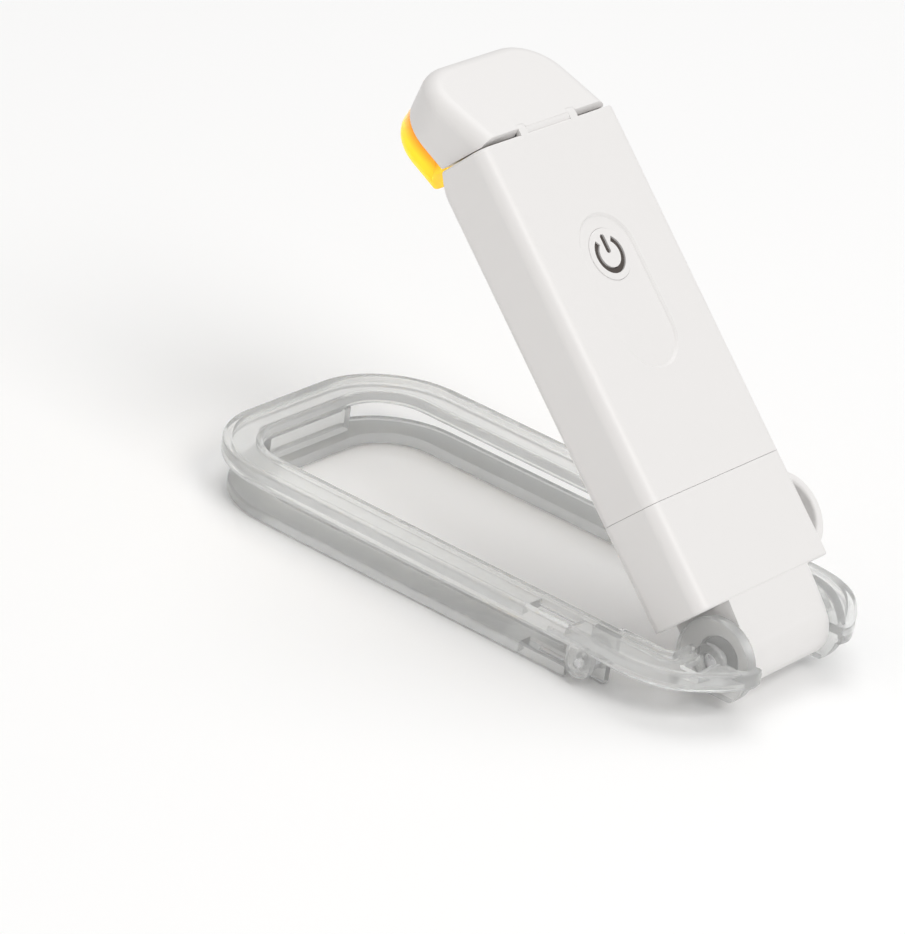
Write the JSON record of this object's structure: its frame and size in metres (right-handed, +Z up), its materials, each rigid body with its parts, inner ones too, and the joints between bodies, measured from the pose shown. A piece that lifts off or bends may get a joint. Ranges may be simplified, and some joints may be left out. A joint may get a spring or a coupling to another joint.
{
  "type": "clip-on reading lamp",
  "caption": "White clip-on reading lamp with a tilting head, amber lens, power button, pull-off USB cap and clear spring clip.",
  "frame": {"origin": "centre of the lamp's footprint, on the underside of the lower jaw that it stands on", "axes": "+X along the pivot barrel, +Y along the clip from the barrel to the jaw tips, +Z up, square to the clip"},
  "size_m": [0.0546, 0.1134, 0.0837],
  "materials": {
    "white_gloss": "glossy white ABS",
    "white_matte": "satin white",
    "clear_plastic": "clear, polished, slightly grey at the edges",
    "amber_lens": "clear amber, polished, lit from inside",
    "led_yellow": "pale yellow phosphor",
    "symbol_grey": "satin dark grey",
    "steel": "bright plated",
    "rubber": "matte",
    "board_green": "solder mask",
    "chip_black": "matte epoxy",
    "battery_foil": "satin foil",
    "contact_gold": "gold plated",
    "lead_red": "satin",
    "lead_black": "satin"
  },
  "bodies": {
    "clip": {"clip_frame": "clear_plastic", "barrel_axle": "steel", "jaw_pin_right": "steel", "jaw_pin_left": "steel", "torsion_spring_right": "steel", "torsion_spring_left": "steel"},
    "lower_jaw": {"lower_jaw": "clear_plastic"},
    "cap": {"cap_shell": "white_gloss", "friction_washer_right": "rubber", "friction_washer_left": "rubber"},
    "casing": {"front_shell": "white_gloss", "rear_cover": "white_gloss", "circuit_board": "board_green", "tactile_switch": "steel", "charging_chip": "chip_black", "led_driver_chip": "chip_black", "battery": "battery_foil", "battery_lead_red": "lead_red", "battery_lead_black": "lead_black", "usb_plug_shell": "steel", "usb_plug_tongue": "white_matte", "usb_contact_1": "contact_gold", "usb_contact_2": "contact_gold", "usb_contact_3": "contact_gold", "usb_contact_4": "contact_gold"},
    "button": {"power_button": "white_gloss", "power_symbol": "symbol_grey"},
    "head": {"head_cover": "white_gloss", "head_hinge_pin": "steel", "lens": "amber_lens", "led_board": "white_matte", "led_reflector": "white_matte", "led_1": "led_yellow", "led_2": "led_yellow", "led_3": "led_yellow", "led_4": "led_yellow", "led_5": "led_yellow", "led_6": "led_yellow"}
  },
  "joints": [
    {"name": "jaw_open", "type": "hinge", "parent": "clip", "child": "lower_jaw", "pos_m": [0, -0.03125, 0.0041], "axis": [-1, 0, 0], "range_deg": [0, 22], "stiffness_Nm_per_rad": 0.3, "springref_deg": -28.65, "deforming": ["torsion_spring_right", "torsion_spring_left"]},
    {"name": "body_pivot", "type": "hinge", "parent": "clip", "child": "cap", "pos_m": [0, -0.04825, 0.0079], "axis": [1, 0, 0], "range_deg": [-15, 74]},
    {"name": "cap_pull", "type": "slide", "parent": "cap", "child": "casing", "axis": [0, 0.6947, 0.7193], "range_m": [0, 0.016]},
    {"name": "head_tilt", "type": "hinge", "parent": "casing", "child": "head", "pos_m": [0, 0.01164, 0.0774], "axis": [1, 0, 0], "range_deg": [-3, 28]},
    {"name": "button_press", "type": "slide", "parent": "casing", "child": "button", "axis": [0, 0.7193, -0.6947], "range_m": [0, 0.0004], "stiffness_N_per_m": 1500}
  ]
}
